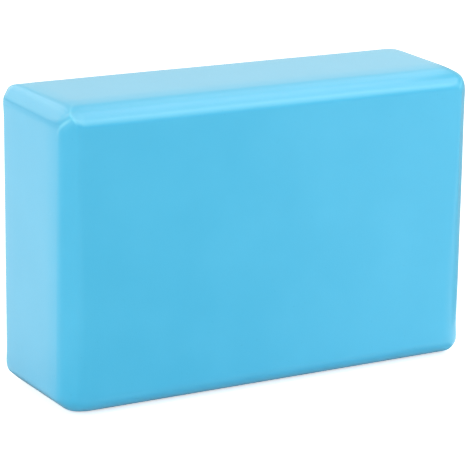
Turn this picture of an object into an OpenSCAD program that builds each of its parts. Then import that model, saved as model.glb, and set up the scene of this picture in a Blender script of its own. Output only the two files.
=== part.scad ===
// Foam block: one solid piece of closed-cell foam, as used for stretching, propping and
// packing up work on a bench. It is cut from a thick slab and trimmed along all twelve edges.
//
// It stands on one long narrow side. The origin is at the middle of its underside, X runs
// along the length, Y through the thickness, and Z is up. The two broad faces look along Y.

/* [Block] */
// Length from end to end, along X
length = 230; // [120:1:320]
// Thickness between the two broad faces, along Y
thickness = 75; // [50:1:120]
// Height between the two long narrow faces, along Z
height = 152; // [80:1:240]

/* [Trimmed edges] */
// How far the trim along a long edge reaches in over each face
long_trim = 8.5; // [4:0.5:14]
// How far the trim along an upright edge reaches in over each face
upright_trim = 7.5; // [4:0.5:14]
// How far the trim along an edge between an end and a long narrow face reaches in
end_trim = 7.5; // [4:0.5:14]

/* [Softened corners] */
// Radius where a trim meets a broad face, a crisp line
broad_round = 1.5; // [0.5:0.25:4]
// Radius where a trim meets an end or a long narrow face, a softer line
narrow_round = 4; // [1:0.25:5]

/* [Hidden] */
foam_colour = [0.33, 0.74, 0.90];
// A trim turns half of the way from one face to the next
trim_angle = 45;
$fn = 96;

// How far a round of this radius starts from the sharp corner that it softens
function setback(radius) = radius * tan(trim_angle / 2);

// A rectangle about the origin with its four corners trimmed. Each trim has a round at both
// ends: round_a where it meets the sides that face X, round_b where it meets those facing Y.
module trimmed_outline(size, trim, round_a, round_b) {
    half = size / 2;
    slant = [cos(trim_angle), sin(trim_angle)];
    // Ends of both rounds in the corner where X and Y are positive
    side_a = [half.x, half.y - trim - setback(round_a)];
    slant_a = [half.x, half.y - trim] + setback(round_a) * [-slant.x, slant.y];
    slant_b = [half.x - trim, half.y] + setback(round_b) * [slant.x, -slant.y];
    side_b = [half.x - trim - setback(round_b), half.y];
    corner = [side_a, slant_a, slant_b, side_b];
    last = len(corner) - 1;
    polygon([
        for (way = [[1, 1], [-1, 1], [-1, -1], [1, -1]])
            for (i = [0 : last])
                let (point = corner[way.x * way.y > 0 ? i : last - i])
                    [way.x * point.x, way.y * point.y]
    ]);
    for (x_way = [-1, 1])
        for (y_way = [-1, 1]) {
            translate([x_way * (half.x - round_a), y_way * side_a.y])
                circle(r = round_a);
            translate([x_way * side_b.x, y_way * (half.y - round_b)])
                circle(r = round_b);
        }
}

// Seen from above: the two ends, the two broad faces and the four upright trims
module plan() {
    linear_extrude(height)
        trimmed_outline([length, thickness], upright_trim, narrow_round, broad_round);
}

// Seen from an end: the broad faces, top, underside and the four long trims
module end_section() {
    translate([0, 0, height / 2])
        rotate([90, 0, 90])
            linear_extrude(length, center = true)
                trimmed_outline([thickness, height], long_trim, broad_round, narrow_round);
}

// Seen from the front: the ends, top, underside and the four trims across the thickness
module front_outline() {
    translate([0, 0, height / 2])
        rotate([90, 0, 0])
            linear_extrude(thickness, center = true)
                trimmed_outline([length, height], end_trim, narrow_round, narrow_round);
}

// The block is what the three outlines have in common, so that the three trims at each
// corner meet in mitred ridges, as they do on a block that is trimmed edge by edge
module foam_block() {
    color(foam_colour)
        intersection() {
            plan();
            end_section();
            front_outline();
        }
}

foam_block();
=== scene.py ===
"""Looks of the foam block: its shaped mesh, its finish, and the studio that it stands in.

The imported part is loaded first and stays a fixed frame. The block's own mesh takes the place of
the plain solid in it: the same outline, with the rolled margins, soft arrises, mitred corner
ridges and faint creases of trimmed foam. Lengths are in metres, X runs along the block, Y
through its thickness, and Z is up.
"""

import logging
import math
from dataclasses import dataclass
from enum import Enum, IntEnum

import bpy
import numpy as np
from mathutils import Matrix, Vector


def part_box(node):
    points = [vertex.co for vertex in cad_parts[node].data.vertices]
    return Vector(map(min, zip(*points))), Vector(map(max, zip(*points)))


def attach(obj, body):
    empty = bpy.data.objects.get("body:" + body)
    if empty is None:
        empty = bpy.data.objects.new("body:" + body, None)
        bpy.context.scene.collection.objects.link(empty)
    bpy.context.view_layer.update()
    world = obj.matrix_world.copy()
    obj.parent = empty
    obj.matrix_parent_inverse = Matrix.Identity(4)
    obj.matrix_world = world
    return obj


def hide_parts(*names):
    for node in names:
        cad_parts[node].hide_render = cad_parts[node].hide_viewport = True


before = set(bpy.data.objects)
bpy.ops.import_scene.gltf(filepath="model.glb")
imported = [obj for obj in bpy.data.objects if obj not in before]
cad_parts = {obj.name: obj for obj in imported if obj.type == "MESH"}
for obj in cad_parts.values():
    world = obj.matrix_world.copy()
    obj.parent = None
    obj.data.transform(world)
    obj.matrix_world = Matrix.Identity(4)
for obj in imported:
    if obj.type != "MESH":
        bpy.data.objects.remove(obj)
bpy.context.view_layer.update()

MM = 0.001
NODE = "foam_block"
# Point attribute that carries the painted highlight.
PAINTED_HIGHLIGHT = "painted_highlight"
log = logging.getLogger("foam_block")

Colour = tuple[float, float, float]
Span = tuple[float, float]
Setting = float | int | str | bool


def smooth_max(a: np.ndarray, b: np.ndarray, blend: float | np.ndarray) -> np.ndarray:
    """The larger of two distances, with the crossing rolled over.

    Args:
        a: Distances outside the first surface.
        b: Distances outside the second surface.
        blend: Difference between the two at which the roll starts.

    Returns:
        The blended distances, never below the larger of the two.
    """
    near = np.maximum(blend - np.abs(a - b), 0.0)
    return np.maximum(a, b) + near**2 / (4 * blend)


def bell(distance: np.ndarray, width: float) -> np.ndarray:
    """A bump of height 1 that is about twice width across."""
    return np.exp(-((distance / width) ** 2))


@dataclass(frozen=True)
class Ladder:
    """Where the mesh lines cross one axis of the block: close at the edges, wide between.

    Attributes:
        fine: Step next to an edge of the block.
        reach: How far in from the edge the fine steps go.
        coarse: Widest step, in the middle of a face.
        growth: Most that a step may grow from one to the next.
    """

    fine: float = 0.5 * MM
    reach: float = 13 * MM
    coarse: float = 3.5 * MM
    growth: float = 1.2

    def rungs(self, half: float) -> np.ndarray:
        """Places of the mesh lines from one end to the other.

        Args:
            half: Half of the block's size along the axis.

        Returns:
            Rising coordinates from -half to half.
        """
        insets = [0.0]
        step = self.fine
        while insets[-1] < half:
            if insets[-1] >= self.reach:
                step = min(step * self.growth, self.coarse)
            insets.append(insets[-1] + step)
        upper = half * (1 - np.array(insets) / insets[-1])
        return np.concatenate([-upper[:-1], upper[::-1]])


@dataclass(frozen=True)
class Unevenness:
    """The slow waviness that a hot wire and trimming leave in foam.

    Attributes:
        lengths: Wavelengths of the layers.
        depths: How deep each layer goes.
        waves: Waves in a layer.
        seed: Start of the random draws.
        flat_height: Height over which the waviness grows from nothing at the underside.
    """

    lengths: tuple[float, ...] = (150 * MM, 60 * MM, 22 * MM)
    depths: tuple[float, ...] = (0.12 * MM, 0.08 * MM, 0.025 * MM)
    waves: int = 5
    seed: int = 7
    flat_height: float = 20 * MM

    def dips(self, points: np.ndarray) -> np.ndarray:
        """How far the surface lies inside its true place, which is nowhere on the underside.

        Args:
            points: Points on the block, one a row.

        Returns:
            Depths, all zero or more.
        """
        draws = np.random.default_rng(self.seed)
        total = np.zeros(len(points))
        for length, depth in zip(self.lengths, self.depths, strict=True):
            for _ in range(self.waves):
                way = draws.normal(size=3)
                way *= math.tau / (length * np.linalg.norm(way))
                phase = draws.uniform(0, math.tau)
                total += depth / self.waves * (1 + np.sin(points @ way + phase))
        height = points[:, 2] - points[:, 2].min()
        return total * np.clip(height / self.flat_height, 0, 1)


class Places:
    """Points of the block, and where in it they lie.

    Attributes:
        gap_x: How far each point lies inside the nearer end.
        gap_y: How far it lies inside the nearer broad face.
        gap_z: How far it lies inside the nearer narrow face.
        lengthwise: Where it lies from the left end to the right end, from -1 to 1.
        through: The same from the front to the back.
        level: The same from the underside to the top.
        left: Whether it lies in the left half.
        ahead: Whether it lies in the front half.
        upper: Whether it lies in the upper half.
        top_front: How far to the front it lies, from 0 to 1, and 0 in the lower half.
    """

    def __init__(self, points: np.ndarray, half: np.ndarray) -> None:
        """Measures the points.

        Args:
            points: Points about the block's centre, one a row.
            half: Half of the block's length, thickness and height.
        """
        self.gap_x, self.gap_y, self.gap_z = (half - np.abs(points)).T
        self.lengthwise, self.through, self.level = (points / half).T
        self.left = points[:, 0] < 0
        self.ahead = points[:, 1] < 0
        self.upper = points[:, 2] > 0
        self.top_front = np.clip(0.5 - self.through, 0, 1) * self.upper


@dataclass(frozen=True)
class Trims:
    """The trims along the block's twelve edges.

    Attributes:
        long_trim: Reach of the upper trims along the length, over the broad faces.
        lower_long_trim: The same for the lower ones.
        long_reach: Their reach over the narrow faces.
        upright_trim: Reach of the upright trims over the broad faces.
        upright_reach: Their reach over the ends.
        upright_taper: How much less that is at the top on the left, and at the foot on the right.
        end_trim: Reach of the trims between the ends and the narrow faces, over the ends.
        end_slant: How much more that is in front than at the back.
        end_reach: Their reach over the top.
        lower_left_reach: Reach of the one at the lower left over the underside.
        lower_right_trim: Reach of the one at the lower right over both faces.
        trim_fall: How much further an end trim reaches in where it runs out at a broad face.
        fall_reach: How far in from the broad face that starts.
        left_rise: How much less a long trim reaches in where it runs out at the left end.
        right_rise: The same at the right end.
        rise_reach: How far in from the end that starts.
        lip: How far the crisp edge of an upper long trim stands above its middle.
        bead_inset: How far that crisp edge lies inside the broad face.
        bead_width: Half of its width.
    """

    long_trim: float = 8.6 * MM
    lower_long_trim: float = 6.2 * MM
    long_reach: float = 7.7 * MM
    upright_trim: float = 7.8 * MM
    upright_reach: float = 7.1 * MM
    upright_taper: float = 1.7 * MM
    end_trim: float = 8.0 * MM
    end_slant: float = 1.2 * MM
    end_reach: float = 5.6 * MM
    lower_left_reach: float = 8.8 * MM
    lower_right_trim: float = 4.8 * MM
    trim_fall: float = 4.8 * MM
    fall_reach: float = 10 * MM
    left_rise: float = 7.4 * MM
    right_rise: float = 2.0 * MM
    rise_reach: float = 13 * MM
    lip: float = 0.12 * MM
    bead_inset: float = 1.6 * MM
    bead_width: float = 0.8 * MM

    @property
    def widest(self) -> float:
        """The widest reach over a broad face or an end."""
        return max(self.long_trim, self.upright_trim, self.end_trim)

    def outside(self, places: Places) -> tuple[np.ndarray, np.ndarray, np.ndarray]:
        """How far points lie outside the trims.

        Args:
            places: The points.

        Returns:
            Distances outside the upright, long and end trims, negative inside.
        """
        return self.upright(places), self.along(places), self.across(places)

    def upright(self, places: Places) -> np.ndarray:
        """How far points lie outside the upright trims.

        Args:
            places: The points.

        Returns:
            Distances, negative inside.
        """
        side = np.where(places.left, -1, 1)
        taper = self.upright_taper * (0.5 - 0.5 * side * places.level)
        slope = self.upright_trim / (self.upright_reach - taper)
        return (self.upright_trim - places.gap_x - slope * places.gap_y) / np.hypot(slope, 1)

    def along(self, places: Places) -> np.ndarray:
        """How far points lie outside the trims along the length, which rise towards the ends.

        Args:
            places: The points.

        Returns:
            Distances, negative inside.
        """
        trim = np.where(places.upper, self.long_trim, self.lower_long_trim)
        slope = trim / self.long_reach
        rise = np.where(places.left, self.left_rise, self.right_rise)
        rise *= trim / self.long_trim * np.clip(1 - places.gap_x / self.rise_reach, 0, 1) ** 2
        bead = bell(places.gap_y - self.bead_inset, self.bead_width)
        plane = (trim - rise - slope * places.gap_y - places.gap_z) / np.hypot(slope, 1)
        return plane + self.lip * (1 - places.upper * bead)

    def across(self, places: Places) -> np.ndarray:
        """How far points lie outside the end trims, which fall towards the broad faces.

        Args:
            places: The points.

        Returns:
            Distances, negative inside.
        """
        trim = np.where(places.upper | places.left, self.end_trim, self.lower_right_trim)
        lower_reach = np.where(places.left, self.lower_left_reach, self.lower_right_trim)
        slope = trim / np.where(places.upper, self.end_reach, lower_reach)
        fall = self.trim_fall * self.running_out(places) - self.end_slant * places.through / 2
        return (trim + fall - slope * places.gap_x - places.gap_z) / np.hypot(slope, 1)

    def running_out(self, places: Places) -> np.ndarray:
        """How near an end trim is to where it runs out at a broad face, from 0 to 1."""
        return np.clip(1 - places.gap_y / self.fall_reach, 0, 1) ** 2


@dataclass(frozen=True)
class Faces:
    """The block's ends, top and underside, which roll down and crease next to the trims.

    Attributes:
        margin_width: Width of the rolled margin on the ends and the underside.
        margin_drop: How far that margin has rolled down at its edge.
        back_share: How much of that there is at the back.
        top_width: Width of the rolled margin in front on the top.
        top_drop: How far that margin has rolled down at its edge, from the middle to the right end.
        top_lean: How much more it has rolled down at the left end, as a share.
        side_width: Width of the rolled margins at the left and right of the top.
        left_drop: How far the left one has rolled down in front.
        right_drop: The same for the right one.
        far_share: How much of these there is at the back.
        end_crease: Depth of the crease beside an end trim, on the end.
        narrow_crease: Depth of the crease on its other side, on the narrow face.
        crease_width: Width of both creases.
    """

    margin_width: float = 12 * MM
    margin_drop: float = 0.6 * MM
    back_share: float = 0.3
    top_width: float = 15 * MM
    top_drop: float = 1.1 * MM
    top_lean: float = 0.4
    side_width: float = 11 * MM
    left_drop: float = 1.2 * MM
    right_drop: float = 0.85 * MM
    far_share: float = 0.4
    end_crease: float = 0.10 * MM
    narrow_crease: float = 0.04 * MM
    crease_width: float = 1.0 * MM

    @staticmethod
    def rolled(inset: np.ndarray, width: float) -> np.ndarray:
        """The share of a margin's drop at an inset from the face's trimmed edge."""
        return np.clip(1 - inset / width, 0, 1) ** 2

    def margin(self, places: Places, trim: float) -> np.ndarray:
        """How far the margin along a broad face has rolled down.

        Args:
            places: The points.
            trim: How far the trim next to it reaches in.

        Returns:
            Drops, less at the back.
        """
        share = np.where(places.ahead, 1, self.back_share)
        return share * self.margin_drop * self.rolled(places.gap_y - trim, self.margin_width)

    def ends(self, places: Places, trims: Trims) -> np.ndarray:
        """How far points lie outside the ends.

        Args:
            places: The points.
            trims: The trims next to the ends.

        Returns:
            Distances, negative inside.
        """
        crease = bell(places.gap_z - trims.end_trim - self.crease_width, self.crease_width)
        crease *= self.end_crease * (1 - trims.running_out(places))
        return self.margin(places, trims.upright_trim) + crease - places.gap_x

    def narrow(self, places: Places, trims: Trims) -> np.ndarray:
        """How far points lie outside the top and the underside.

        Args:
            places: The points.
            trims: The trims next to them.

        Returns:
            Distances, negative inside.
        """
        lean = 1 + self.top_lean * np.maximum(-places.lengthwise, 0)
        top_margin = self.rolled(places.gap_y - trims.long_reach, self.top_width)
        top_margin *= self.top_drop * lean
        margin = self.margin(places, trims.long_reach)
        drop = np.where(places.upper & places.ahead, top_margin, margin)
        side_drop = np.where(places.left, self.left_drop, self.right_drop)
        side_drop *= self.far_share + (1 - self.far_share) * places.top_front
        side_drop *= self.rolled(places.gap_x - trims.end_reach, self.side_width)
        crease = bell(places.gap_x - trims.end_reach, self.crease_width)
        drop += places.upper * side_drop + self.narrow_crease * crease
        return drop - places.gap_z


@dataclass(frozen=True)
class Rolls:
    """How widely the faces and trims roll over into each other.

    Attributes:
        broad_roll: Blend where a trim meets a broad face, in the upper part.
        lower_broad_roll: The same in the lower part.
        roll_change: Where one starts to turn into the other, as a share of half the height.
        end_roll: Blend where an end trim meets an end.
        side_roll: Blend where an upright trim meets an end.
        narrow_roll: Blend where a trim meets a narrow face.
        front_roll: The same in front, on top.
        left_ridge_roll: Blend where two trims meet in an upper corner of the left end.
        right_ridge_roll: The same at the right end.
        lower_ridge_roll: The same in the lower corners.
        lower_left_roll: The same in the one at the lower left in front.
    """

    broad_roll: float = 0.7 * MM
    lower_broad_roll: float = 3.5 * MM
    roll_change: float = 0.5
    end_roll: float = 1.4 * MM
    side_roll: float = 2.6 * MM
    narrow_roll: float = 2.5 * MM
    front_roll: float = 4.2 * MM
    left_ridge_roll: float = 1.2 * MM
    right_ridge_roll: float = 4.0 * MM
    lower_ridge_roll: float = 3.5 * MM
    lower_left_roll: float = 6.5 * MM

    def ridges(self, places: Places) -> np.ndarray:
        """The blend between two trims at each point.

        Args:
            places: The points.

        Returns:
            The blends.
        """
        upper = np.where(places.left, self.left_ridge_roll, self.right_ridge_roll)
        foremost = places.left & places.ahead
        lower = np.where(foremost, self.lower_left_roll, self.lower_ridge_roll)
        return np.where(places.upper, upper, lower)

    def ends(self, places: Places, end_trim: float) -> np.ndarray:
        """The blend between the trims and an end at each point."""
        return np.interp(places.gap_z, (end_trim, 2 * end_trim), (self.end_roll, self.side_roll))

    def narrow(self, places: Places) -> np.ndarray:
        """The blend between the trims and a narrow face at each point."""
        return self.narrow_roll + (self.front_roll - self.narrow_roll) * places.top_front

    def broad(self, places: Places) -> np.ndarray:
        """The blend between the trims and a broad face at each point."""
        span = (-self.roll_change, self.roll_change)
        return np.interp(places.level, span, (self.lower_broad_roll, self.broad_roll))


@dataclass(frozen=True)
class PaintedHighlights:
    """Where highlights are painted on the upper arrises and the upright trims, as a paler colour.

    Attributes:
        bead_highlight: How strong the painted highlight is on the crisp edges of the long trims,
            next to the ridges.
        corner_highlight: How much lighter an end trim is painted where it runs out at a broad face,
            painted light over its shading there.
        facet_highlight: How much lighter the upright trims are painted, as painted light.
        highlight_width: Half of the width of the painted highlights on the ridges between trims.
        highlight_reach: How far over the surface the two trims of such a ridge may lie.
        top_highlight_reach: The same for the ridge that runs up to the top.
    """

    bead_highlight: float = 0.25
    corner_highlight: float = 1.0
    facet_highlight: float = 0.005
    highlight_width: float = 1.1 * MM
    highlight_reach: float = 1.8 * MM
    top_highlight_reach: float = 3.4 * MM

    def highlight_shares(self, places: Places, trims: Trims) -> np.ndarray:
        """How much painted highlight each point of the surface gets.

        Args:
            places: Points on the shaped surface.
            trims: The block's trims.

        Returns:
            1 on the upper ridges between trims and where the upper end trims run out, less on the
            crisp edges of the upper long trims, and least on the upright trims: the share of the
            painted highlight colour.
        """
        # Painted highlight on the ridges, beads, corners and upright trims, where light would catch
        # them.
        upright, along, across = trims.outside(places)
        near_upright = self.ridge(upright, along, self.highlight_reach)
        near_end = self.ridge(upright, across, self.highlight_reach)
        to_top = self.ridge(along, across, self.top_highlight_reach)
        above_corner = np.minimum(along, across) - upright
        to_top *= np.clip(above_corner / self.highlight_width + 0.5, 0, 1)
        ridges = np.max([near_upright, near_end, to_top], axis=0)
        ridges *= np.clip(places.gap_y / trims.bead_width - 0.5, 0, 1)
        bead = bell(places.gap_y - trims.bead_inset, trims.bead_width)
        bead *= self.bead_highlight * bell(along, self.highlight_reach)
        corner = self.corner_highlight * trims.running_out(places) * bell(across, self.highlight_reach)
        facet = self.facet_highlight * (upright > -np.minimum(places.gap_x, places.gap_y))
        return np.maximum(np.max([ridges, bead, corner], axis=0) * places.upper, facet)

    def ridge(self, one: np.ndarray, other: np.ndarray, reach: float) -> np.ndarray:
        """How near points lie to the ridge between two trims.

        Args:
            one: Distances outside the one trim.
            other: Distances outside the other trim.
            reach: How far over the surface the two may lie.

        Returns:
            1 on the ridge, falling to 0 away from it.
        """
        return bell(one - other, self.highlight_width) * bell(np.minimum(one, other), reach)


@dataclass
class FoamBlock:
    """The block: a box trimmed along all its edges, with everything rolled over softly.

    Attributes:
        low: Lowest corner of the solid that it stands for.
        high: Highest corner of that solid.
        trims: The trims along its edges.
        faces: Its ends, top and underside.
        rolls: How widely these roll over into each other.
        painted_highlights: Where its arrises and trims are painted paler, as painted highlight.
        ladder: Spacing of the mesh lines.
        unevenness: Slow waviness of the surface.
        core_inset: How deep the points lie that the surface is sought from, in widest trims.
        halvings: Steps of that search.
    """

    low: Vector
    high: Vector
    trims: Trims = Trims()
    faces: Faces = Faces()
    rolls: Rolls = Rolls()
    painted_highlights: PaintedHighlights = PaintedHighlights()
    ladder: Ladder = Ladder()
    unevenness: Unevenness = Unevenness()
    core_inset: float = 1.4
    halvings: int = 40

    @property
    def middle(self) -> np.ndarray:
        """The centre of the block."""
        return np.array((self.low + self.high) / 2)

    @property
    def half(self) -> np.ndarray:
        """Half of the length, thickness and height."""
        return np.array((self.high - self.low) / 2)

    def lattice(self) -> tuple[np.ndarray, np.ndarray]:
        """The mesh lines' crossings on a plain box of the block's size.

        Returns:
            The points about the centre, and the corner numbers of each quad.
        """
        rungs = [self.ladder.rungs(size) for size in self.half]
        shape = tuple(map(len, rungs))
        place = np.stack(np.meshgrid(*rungs, indexing="ij"), axis=-1)
        step = np.indices(shape)
        last = np.array(shape).reshape(3, 1, 1, 1) - 1
        on_skin = ((step == 0) | (step == last)).any(axis=0)
        number = np.full(shape, -1)
        number[on_skin] = np.arange(on_skin.sum())
        quads = [self.side_quads(number, axis, end) for axis in range(3) for end in (0, -1)]
        return place[on_skin], np.concatenate(quads)

    @staticmethod
    def side_quads(number: np.ndarray, axis: int, end: int) -> np.ndarray:
        """The quads of one side of the lattice, turned to face outwards.

        Args:
            number: Point number at each step of the lattice.
            axis: The axis that the side faces along.
            end: 0 for the side at the low end, -1 for the high end.

        Returns:
            Four point numbers a row.
        """
        turned = (axis, (axis + 1) % 3, (axis + 2) % 3)
        side = number.transpose(turned)[end]
        corners = [side[:-1, :-1], side[1:, :-1], side[1:, 1:], side[:-1, 1:]]
        quads = np.stack([corner.ravel() for corner in corners], axis=1)
        return quads if end == -1 else quads[:, ::-1]

    def outside(self, points: np.ndarray) -> np.ndarray:
        """How far points lie outside the block.

        Args:
            points: Points about the centre, one a row.

        Returns:
            Distances, negative inside.
        """
        places = Places(points, self.half)
        upright, along, across = self.trims.outside(places)
        ridges = self.rolls.ridges(places)
        ends = self.faces.ends(places, self.trims)
        narrow = self.faces.narrow(places, self.trims)
        skin = smooth_max(smooth_max(upright, along, ridges), across, ridges)
        skin = smooth_max(skin, ends, self.rolls.ends(places, self.trims.end_trim))
        skin = smooth_max(skin, narrow, self.rolls.narrow(places))
        return smooth_max(skin, -places.gap_y, self.rolls.broad(places))

    def shaped(self, points: np.ndarray) -> np.ndarray:
        """Moves box points in to the block's surface, each towards the nearest inner point.

        Args:
            points: Points on the plain box, about the centre.

        Returns:
            The points on the shaped surface.
        """
        inner = self.half - self.core_inset * self.trims.widest
        start = np.clip(points, -inner, inner)
        way = points - start
        dips = self.unevenness.dips(points)
        near = np.zeros(len(points))
        far = np.ones(len(points))
        for _ in range(self.halvings):
            half_way = (near + far) / 2
            inside = self.outside(start + way * half_way[:, None]) + dips < 0
            near = np.where(inside, half_way, near)
            far = np.where(inside, far, half_way)
        return start + way * near[:, None]

    def build(self) -> bpy.types.Object:
        """Makes the block's mesh.

        Returns:
            The object, in the scene and with smooth shading.
        """
        points, quads = self.lattice()
        points = self.shaped(points)
        mesh = bpy.data.meshes.new("foam_body")
        mesh.from_pydata(points + self.middle, [], quads.tolist())
        # Painted highlight: a point attribute that pales the colour on the arrises and trims.
        highlight_shares = self.painted_highlights.highlight_shares(Places(points, self.half), self.trims)
        mesh.attributes.new(PAINTED_HIGHLIGHT, "FLOAT", "POINT").data.foreach_set("value", highlight_shares)
        mesh.shade_smooth()
        body = bpy.data.objects.new("foam_body", mesh)
        bpy.context.scene.collection.objects.link(body)
        return body


class Wire:
    """An output of a shader node, on which arithmetic adds Math nodes."""

    def __init__(self, board: "Board", socket: bpy.types.NodeSocket) -> None:
        """Holds a socket and the board that its nodes go on."""
        self.board = board
        self.socket = socket

    def maths(self, operation: str, *values: "Wire | float") -> "Wire":
        """One Math node.

        Args:
            operation: The node's operation.
            values: Its inputs, in order.

        Returns:
            The node's result.
        """
        inputs = dict(enumerate(values))
        return self.board.add("ShaderNodeMath", {"operation": operation}, inputs)

    def __add__(self, other: "Wire | float") -> "Wire":
        """self + other."""
        return self.maths("ADD", self, other)

    def __sub__(self, other: "Wire | float") -> "Wire":
        """self - other."""
        return self.maths("SUBTRACT", self, other)

    def __mul__(self, other: "Wire | float") -> "Wire":
        """self * other."""
        return self.maths("MULTIPLY", self, other)

    def __rsub__(self, other: float) -> "Wire":
        """other - self."""
        return self.maths("SUBTRACT", other, self)

    __radd__ = __add__
    __rmul__ = __mul__


class MixSocket(IntEnum):
    """Numbers of the Mix node's sockets where it mixes colours."""

    SHARE = 0
    LOW = 6
    HIGH = 7
    RESULT = 2


class Board:
    """The node tree of one material or world."""

    def __init__(self, tree: bpy.types.NodeTree) -> None:
        """Empties the tree."""
        self.tree = tree
        tree.nodes.clear()

    def node(
        self,
        kind: str,
        settings: dict[str, Setting] | None = None,
        inputs: dict[str | int, object] | None = None,
    ) -> bpy.types.Node:
        """Adds a node.

        Args:
            kind: The node's type.
            settings: Its properties, set first.
            inputs: A value or a Wire for each of its sockets, by name or number.

        Returns:
            The node.
        """
        made = self.tree.nodes.new(kind)
        for name, value in (settings or {}).items():
            setattr(made, name, value)
        for key, value in (inputs or {}).items():
            if isinstance(value, Wire):
                self.tree.links.new(value.socket, made.inputs[key])
            else:
                made.inputs[key].default_value = value
        return made

    def add(
        self,
        kind: str,
        settings: dict[str, Setting] | None = None,
        inputs: dict[str | int, object] | None = None,
        output: str | int = 0,
    ) -> Wire:
        """Adds a node and gives one of its outputs.

        Args:
            kind: The node's type.
            settings: Its properties, set first.
            inputs: A value or a Wire for each of its sockets.
            output: Which of its outputs to give.

        Returns:
            The output.
        """
        return Wire(self, self.node(kind, settings, inputs).outputs[output])

    def mix(self, share: Wire, low: Wire | Colour, high: Wire | Colour) -> Wire:
        """Mixes two colours.

        Args:
            share: How much of the second colour shows.
            low: The colour at a share of 0.
            high: The colour at a share of 1.

        Returns:
            The mixed colour.
        """
        ends = [end if isinstance(end, Wire) else (*end, 1.0) for end in (low, high)]
        inputs = {MixSocket.SHARE: share, MixSocket.LOW: ends[0], MixSocket.HIGH: ends[1]}
        return self.add("ShaderNodeMix", {"data_type": "RGBA"}, inputs, MixSocket.RESULT)

    def seen(self) -> Wire:
        """Tells where a surface is seen, mirrored or looked through, and not only gives light.

        Returns:
            1 where it is seen, and 0 elsewhere.
        """
        path = self.node("ShaderNodeLightPath")
        ways = ("Is Camera Ray", "Is Glossy Ray", "Is Transmission Ray")
        camera, glossy, through = (Wire(self, path.outputs[way]) for way in ways)
        return camera.maths("MAXIMUM", camera.maths("MAXIMUM", camera, glossy), through)

    def vector(self, operation: str, *values: Wire | tuple[float, float, float]) -> Wire:
        """One Vector Math node.

        Args:
            operation: The node's operation.
            values: Its inputs, in order.

        Returns:
            The node's result, a number for a length or a dot product.
        """
        output = "Value" if operation in ("LENGTH", "DOT_PRODUCT") else "Vector"
        settings = {"operation": operation}
        return self.add("ShaderNodeVectorMath", settings, dict(enumerate(values)), output)

    def ramp(self, value: Wire, start: float, stop: float) -> Wire:
        """A smooth rise from 0 at start to 1 at stop.

        Args:
            value: What the rise follows.
            start: Where it leaves 0.
            stop: Where it reaches 1.

        Returns:
            The rise.
        """
        settings = {"interpolation_type": "SMOOTHSTEP"}
        inputs = {"Value": value, "From Min": start, "From Max": stop}
        return self.add("ShaderNodeMapRange", settings, inputs)


def new_material(name: str) -> tuple[bpy.types.Material, Board]:
    """Makes a material that has no nodes yet.

    Args:
        name: Its name.

    Returns:
        The material, and the board that its nodes go on.
    """
    made = bpy.data.materials.new(name)
    made.use_nodes = True
    return made, Board(made.node_tree)


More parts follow.
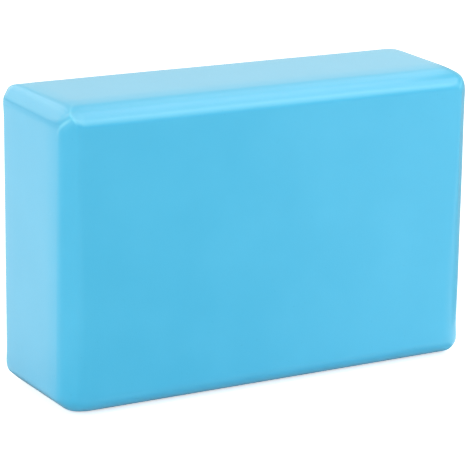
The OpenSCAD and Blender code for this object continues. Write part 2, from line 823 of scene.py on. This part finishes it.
@dataclass(frozen=True)
class FoamFinish:
    """Fine closed-cell foam: satin, slightly mottled, with small cells and a few open pores, with
    painted shade in the pores and painted highlights on the arrises.

    Attributes:
        pore_shade: Darker colour painted in the pores, as painted shade.
        tone: Main colour.
        pale: Colour of the lightest mottling.
        painted_highlight: Paler colour painted on the arrises and trims, as painted highlight.
        mottles: Mottles to a metre.
        mottle_span: Where in the mottling's noise the pale colour starts and is full.
        grains: Grains to a metre.
        cell: Size of a cell.
        wall_span: Where a cell's wall starts and ends, in cells from its middle.
        pore_gap: Mean distance between open pores.
        pore_span: Radius of a pore's floor and of its rim, in gaps.
        pore_shade_share: How much of that painted shade shows in a pore.
        relief: Depth of the bumps.
        relief_strength: How strongly they show.
        roughness: Middle roughness.
        roughness_range: How much the grain changes it.
        gloss: Strength of the mirror reflection, 0.5 being that of plastic.
        sheen: Strength of the soft reflection at a grazing angle.
        sheen_roughness: How wide that reflection spreads.
        sheen_tint: Its colour.
    """

    pore_shade: Colour = (0.033, 0.381, 0.616)
    tone: Colour = (0.056, 0.481, 0.756)
    pale: Colour = (0.063, 0.497, 0.774)
    painted_highlight: Colour = (0.190, 0.680, 0.910)
    mottles: float = 25.0
    mottle_span: Span = (0.35, 0.7)
    grains: float = 900.0
    cell: float = 0.7 * MM
    wall_span: Span = (0.25, 0.75)
    pore_gap: float = 5 * MM
    pore_span: Span = (0.03, 0.09)
    pore_shade_share: float = 0.35
    relief: float = 0.1 * MM
    relief_strength: float = 0.2
    roughness: float = 0.25
    roughness_range: float = 0.08
    gloss: float = 0.4
    sheen: float = 0.35
    sheen_roughness: float = 0.5
    sheen_tint: Colour = (0.91, 1.0, 0.96)

    def material(self) -> bpy.types.Material:
        """Makes the material.

        Returns:
            The material, for an object that sits at the origin.
        """
        made, board = new_material("blue_foam")
        place = board.add("ShaderNodeTexCoord", output="Object")
        mottle_inputs = {"Vector": place, "Scale": self.mottles, "Detail": 3.0}
        mottle = board.add("ShaderNodeTexNoise", {}, mottle_inputs)
        grain_inputs = {"Vector": place, "Scale": self.grains, "Detail": 2.0}
        grain = board.add("ShaderNodeTexNoise", {}, grain_inputs)
        cells = board.add("ShaderNodeTexVoronoi", {}, {"Vector": place, "Scale": 1 / self.cell})
        wall = board.ramp(cells, *self.wall_span)
        pore_inputs = {"Vector": place, "Scale": 1 / self.pore_gap}
        pores = board.add("ShaderNodeTexVoronoi", {}, pore_inputs)
        pit = 1 - board.ramp(pores, *self.pore_span)
        tone = board.mix(board.ramp(mottle, *self.mottle_span), self.tone, self.pale)
        # Painted highlight: the arrises and trims are painted paler where light would catch them.
        highlight_share = board.add("ShaderNodeAttribute", {"attribute_name": PAINTED_HIGHLIGHT}, output="Fac")
        tone = board.mix(highlight_share, tone, self.painted_highlight)
        # Painted shade: the pores are painted darker.
        tone = board.mix(pit * self.pore_shade_share, tone, self.pore_shade)
        bump_inputs = {
            "Strength": self.relief_strength,
            "Distance": self.relief,
            "Height": wall * 0.5 + grain * 0.5 - pit,
        }
        bump = board.add("ShaderNodeBump", {}, bump_inputs)
        surface_inputs = {
            "Base Color": tone,
            "Roughness": self.roughness + self.roughness_range * (grain - 0.5),
            "IOR": 1.5,
            "Specular IOR Level": self.gloss,
            "Sheen Weight": self.sheen,
            "Sheen Roughness": self.sheen_roughness,
            "Sheen Tint": (*self.sheen_tint, 1.0),
            "Normal": bump,
        }
        surface = board.add("ShaderNodeBsdfPrincipled", {}, surface_inputs)
        board.node("ShaderNodeOutputMaterial", {}, {"Surface": surface})
        return made


@dataclass(frozen=True)
class PaperFinish:
    """White paper under the block: it keeps the shadow, and is mirrored darker close to the block.

    Attributes:
        footprint: Half of the size of what stands on it, as X, Y and Z.
        mirror_way: Which way the block's front sends the camera's line of sight.
        tone: Diffuse level.
        glow: Light that it adds to what it reflects, where it is seen.
        far_glow: More of that where the camera sees the far floor.
        far_span: How far out from the footprint the far floor begins, and where it is full.
        lift: Light that it adds next to the footprint, where the camera sees it.
        lift_reach: How far that goes.
        contact: How far out from the broad faces it is mirrored darker.
        end_haste: How much sooner that stops beyond the ends.
        side_shade: How much darker it is mirrored by the left part of the front.
        shade_span: Where that part's shade starts and is full, in half lengths along the front.
        shade_reach: How far out in front it is full, in half thicknesses.
    """

    footprint: tuple[float, float, float]
    mirror_way: tuple[float, float, float]
    tone: float = 0.93
    glow: float = 0.45
    far_glow: float = 0.25
    far_span: Span = (0.4, 1.2)
    lift: float = 0.22
    lift_reach: float = 90 * MM
    contact: float = 8 * MM
    end_haste: float = 1.5
    side_shade: float = 0.75
    shade_span: Span = (-2.2, -1.1)
    shade_reach: float = 2.0

    def material(self) -> bpy.types.Material:
        """Makes the material.

        Returns:
            The material, for a floor that sits at the origin.
        """
        made, board = new_material("floor_paper")
        mirrored = board.add("ShaderNodeLightPath", output="Is Glossy Ray")
        away = self.away(board)
        rim = board.ramp(self.away(board, self.end_haste), 0.0, self.contact)
        open_floor = (1 - mirrored * self.shade(board)) * (1 - mirrored * (1 - rim))
        tone = board.mix(open_floor, (0.0,) * 3, (self.tone,) * 3)
        paper = board.add("ShaderNodeBsdfDiffuse", {}, {"Color": tone})
        camera = board.add("ShaderNodeLightPath", output="Is Camera Ray")
        lift = camera * (1 - board.ramp(away, 0.0, self.lift_reach)) * self.lift
        far = camera * board.ramp(away, *self.far_span) * self.far_glow
        strength = board.seen() * open_floor * self.glow + lift + far
        glow = board.add("ShaderNodeEmission", {}, {"Strength": strength})
        both = board.add("ShaderNodeAddShader", {}, {0: paper, 1: glow})
        board.node("ShaderNodeOutputMaterial", {}, {"Surface": both})
        return made

    def away(self, board: Board, end_haste: float = 1.0) -> Wire:
        """How far a place on the floor lies outside the footprint.

        Args:
            board: The floor's board.
            end_haste: What distances beyond the ends are multiplied by.

        Returns:
            The distance.
        """
        place = board.add("ShaderNodeTexCoord", output="Object")
        place = board.vector("ABSOLUTE", place)
        place = board.vector("SUBTRACT", place, self.footprint)
        place = board.vector("MAXIMUM", place, (0, 0, 0))
        place = board.vector("MULTIPLY", place, (end_haste, 1, 1))
        return board.vector("LENGTH", place)

    def shade(self, board: Board) -> Wire:
        """How much darker the floor is mirrored: most for the left edge of the front.

        Args:
            board: The floor's board.

        Returns:
            The share by which it is darker.
        """
        place = board.add("ShaderNodeTexCoord", output="Object")
        x_way, y_way, _ = self.mirror_way
        half_length, half_thickness, _ = self.footprint
        start = board.vector("DOT_PRODUCT", place, (1, -x_way / y_way, 0))
        front = board.vector("DOT_PRODUCT", place, (0, -1, 0))
        first, full = (share * half_length for share in self.shade_span)
        across = 1 - board.ramp(start, -half_length, half_length)
        across = across * board.ramp(start, first, full)
        return across * board.ramp(front, 0.0, self.shade_reach * half_thickness) * self.side_shade


@dataclass(frozen=True)
class CardFinish:
    """Plain grey card.

    Attributes:
        tone: Its level.
    """

    tone: float = 0.12

    def material(self) -> bpy.types.Material:
        """Makes the material.

        Returns:
            The material.
        """
        made, board = new_material("flag_card")
        glow = board.add("ShaderNodeEmission", {}, {"Strength": self.tone})
        board.node("ShaderNodeOutputMaterial", {}, {"Surface": glow})
        return made


class LampPlace(Enum):
    """Where a lamp hangs, as seen from the block."""

    ABOVE_RIGHT = (0.75, 0.15, 1.25)
    ABOVE_FRONT = (0.6, -0.4, 1.3)
    LEFT = (-1.5, -0.1, 0.7)
    FRONT_LEFT = (-1.2, -0.9, 0.6)
    CLOSE_RIGHT = (0.4, -0.6, 0.28)
    BEHIND_LEFT = (-0.5, 1.5, 0.9)


class LampTint(Enum):
    """The slight tints of the lamps."""

    WARM = (1.05, 1.02, 0.93)
    FRESH = (0.94, 1.0, 0.97)
    COOL = (0.94, 1.0, 1.06)


@dataclass(frozen=True)
class SoftBox:
    """A square soft lamp that points at the block.

    Attributes:
        place: Where it hangs.
        side: Length of its side.
        power: Its power, in watts.
        tint: Its tint.
        mirrored: Whether it shows in shiny surfaces.
    """

    place: LampPlace
    side: float
    power: float
    tint: LampTint
    mirrored: bool = True

    def build(self, target: Vector) -> bpy.types.Object:
        """Hangs the lamp.

        Args:
            target: What it points at.

        Returns:
            The lamp.
        """
        name = f"lamp_{self.place.name.lower()}"
        light = bpy.data.lights.new(name, "AREA")
        light.size = self.side
        light.energy = self.power
        light.color = self.tint.value
        lamp = bpy.data.objects.new(name, light)
        lamp.location = self.place.value
        lamp.visible_camera = False
        lamp.visible_glossy = self.mirrored
        way = target - lamp.location
        lamp.rotation_euler = way.to_track_quat("-Z", "Y").to_euler()
        bpy.context.scene.collection.objects.link(lamp)
        return lamp


@dataclass(frozen=True)
class Viewpoint:
    """The camera.

    Attributes:
        place: Where it stands, from the middle of the block.
        yaw: How far it turns from +Y towards +X, in degrees.
        pitch: How far it looks down, in degrees.
        roll: How far it leans, in degrees.
        focal: Focal length, in picture widths.
        picture: Width of the picture behind the lens, in millimetres.
        sight: Nearest and farthest distance that it sees.
    """

    place: tuple[float, float, float] = (-0.57606, -1.00436, 0.31518)
    yaw: float = 29.763
    pitch: float = 15.525
    roll: float = 1.010
    focal: float = 5.0797234
    picture: float = 36.0
    sight: Span = (0.05, 50.0)

    def mirrored(self) -> tuple[float, float, float]:
        """Which way the block's front sends the camera's line of sight."""
        x, y, z = self.place
        return -x, y, -z

    def build(self, middle: Vector) -> bpy.types.Object:
        """Makes the scene's camera.

        Args:
            middle: The middle of the block.

        Returns:
            The camera.
        """
        data = bpy.data.cameras.new("camera")
        data.sensor_width = self.picture
        data.lens = self.focal * self.picture
        data.clip_start, data.clip_end = self.sight
        camera = bpy.data.objects.new("camera", data)
        turn = Matrix.Rotation(-math.radians(self.yaw), 4, "Z")
        tilt = Matrix.Rotation(math.radians(90 - self.pitch), 4, "X")
        lean = Matrix.Rotation(math.radians(self.roll), 4, "Z")
        shift = Matrix.Translation(middle + Vector(self.place))
        camera.matrix_world = shift @ turn @ tilt @ lean
        bpy.context.scene.collection.objects.link(camera)
        bpy.context.scene.camera = camera
        return camera


@dataclass
class Studio:
    """The floor, the flag, the surrounding light and the lamps.

    Attributes:
        target: What the lamps point at.
        paper: What the floor is made of.
        card: What the flag is made of.
        floor_side: Length of the floor's side.
        flag_near: Where the flag's nearer upright edge stands, beyond the right end.
        flag_far: Where its farther one stands.
        flag_height: Its height.
        ambient: Level of the light that comes from all round.
        mirror_level: Level of the surroundings where they are mirrored.
        lamps: The soft lamps.
    """

    target: Vector
    paper: PaperFinish
    card: CardFinish = CardFinish()
    floor_side: float = 30.0
    flag_near: tuple[float, float] = (0.16, -0.05)
    flag_far: tuple[float, float] = (0.40, 0.37)
    flag_height: float = 0.28
    ambient: float = 0.4
    mirror_level: float = 0.8
    lamps: tuple[SoftBox, ...] = (
        SoftBox(LampPlace.ABOVE_RIGHT, 1.2, 6.2, LampTint.WARM),
        SoftBox(LampPlace.ABOVE_FRONT, 1.1, 7.8, LampTint.WARM),
        SoftBox(LampPlace.LEFT, 1.2, 7.8, LampTint.FRESH),
        SoftBox(LampPlace.FRONT_LEFT, 1.0, 3.7, LampTint.COOL),
        SoftBox(LampPlace.CLOSE_RIGHT, 0.4, 1.02, LampTint.COOL, mirrored=False),
        SoftBox(LampPlace.BEHIND_LEFT, 1.2, 6.9, LampTint.FRESH),
    )

    @staticmethod
    def sheet(name: str, corners: list[Vector], material: bpy.types.Material) -> bpy.types.Object:
        """Makes a flat sheet.

        Args:
            name: Its name.
            corners: Its four corners, in order.
            material: What it is made of.

        Returns:
            The sheet, in the scene.
        """
        mesh = bpy.data.meshes.new(name)
        mesh.from_pydata(corners, [], [(0, 1, 2, 3)])
        mesh.materials.append(material)
        sheet = bpy.data.objects.new(name, mesh)
        bpy.context.scene.collection.objects.link(sheet)
        return sheet

    def floor(self) -> bpy.types.Object:
        """Lays the floor.

        Returns:
            The floor.
        """
        half = self.floor_side / 2
        ways = ((-1, -1), (1, -1), (1, 1), (-1, 1))
        corners = [Vector((x * half, y * half, 0)) for x, y in ways]
        floor = self.sheet("floor", corners, self.paper.material())
        return floor

    def flag(self) -> bpy.types.Object:
        """Stands the flag, a card that only shows where it is mirrored.

        Returns:
            The flag.
        """
        near, far = (Vector((*place, 0)) for place in (self.flag_near, self.flag_far))
        rise = Vector((0, 0, self.flag_height))
        corners = [near, far, far + rise, near + rise]
        flag = self.sheet("flag", corners, self.card.material())
        flag.visible_camera = False
        flag.visible_diffuse = False
        flag.visible_shadow = False
        return flag

    def surroundings(self) -> bpy.types.World:
        """Sets the light from all round, which is white where it is seen.

        Returns:
            The world.
        """
        world = bpy.data.worlds.new("surroundings")
        world.use_nodes = True
        bpy.context.scene.world = world
        board = Board(world.node_tree)
        camera = board.add("ShaderNodeLightPath", output="Is Camera Ray")
        seen = board.seen()
        level = camera + (seen - camera) * self.mirror_level + (1 - seen) * self.ambient
        back = board.add("ShaderNodeBackground", {}, {"Color": (1, 1, 1, 1), "Strength": level})
        board.node("ShaderNodeOutputWorld", {}, {"Surface": back})
        return world

    def build(self) -> None:
        """Makes all of the studio."""
        for sheet in (self.floor(), self.flag()):
            log.info("%s: staged", sheet.name)
        self.surroundings()
        for lamp in self.lamps:
            log.info("%s: hung", lamp.build(self.target).name)


def main() -> None:
    """Builds the block and the studio."""
    logging.basicConfig(level=logging.INFO, format="%(name)s: %(message)s")
    bpy.context.scene.view_settings.view_transform = "Standard"
    low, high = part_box(NODE)
    middle = (low + high) / 2
    block = FoamBlock(low, high)
    body = block.build()
    body.data.materials.append(FoamFinish().material())
    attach(body, "root")
    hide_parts(NODE)
    log.info("%s: %d quads", body.name, len(body.data.polygons))
    view = Viewpoint()
    view.build(middle)
    paper = PaperFinish(tuple((high - low) / 2), view.mirrored())
    Studio(middle, paper).build()


if __name__ == "__main__":
    main()
